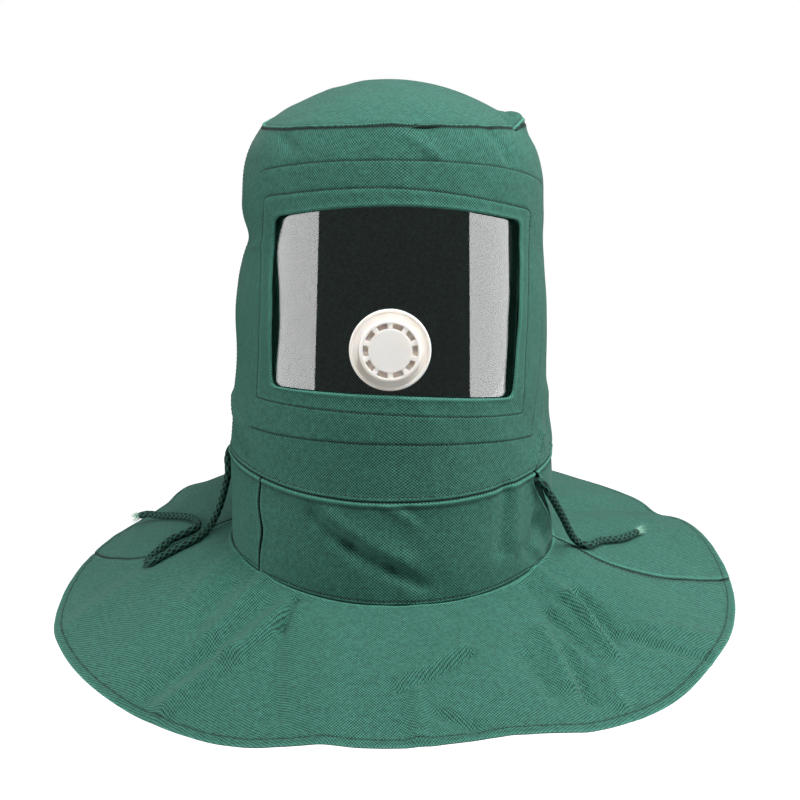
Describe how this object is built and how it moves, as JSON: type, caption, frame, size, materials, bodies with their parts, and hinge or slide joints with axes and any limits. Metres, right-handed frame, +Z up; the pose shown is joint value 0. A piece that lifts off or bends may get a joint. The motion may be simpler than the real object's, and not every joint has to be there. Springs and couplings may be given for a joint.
{
  "type": "sandblasting hood",
  "caption": "Cloth hood with a shoulder cape, a clear lens in a pocket behind its window, a breathing valve in the lens and a neck drawcord.",
  "frame": {"origin": "seat on the wearer's head: the middle of the crown's inner face", "axes": "+Z up, the wearer looks along -Y, +X towards the wearer's left shoulder"},
  "size_m": [0.4825, 0.4705, 0.3951],
  "materials": {
    "green_cloth": "matt woven cotton with stitched seams",
    "green_cord": "matt braided cord",
    "clear_sheet": "clear, smooth",
    "white_plastic": "satin moulded"
  },
  "bodies": {
    "root": {"crown": "green_cloth", "front_panel": "green_cloth", "back_panel": "green_cloth", "neck_front": "green_cloth", "neck_back": "green_cloth", "neck_casing": "green_cloth", "cape_front": "green_cloth", "cape_back": "green_cloth", "lens_pocket": "green_cloth", "lens": "clear_sheet", "valve_body": "white_plastic", "valve_cap": "white_plastic", "valve_ring": "white_plastic", "drawcord_left": "green_cord", "drawcord_back": "green_cord", "drawcord_right": "green_cord"}
  },
  "joints": []
}
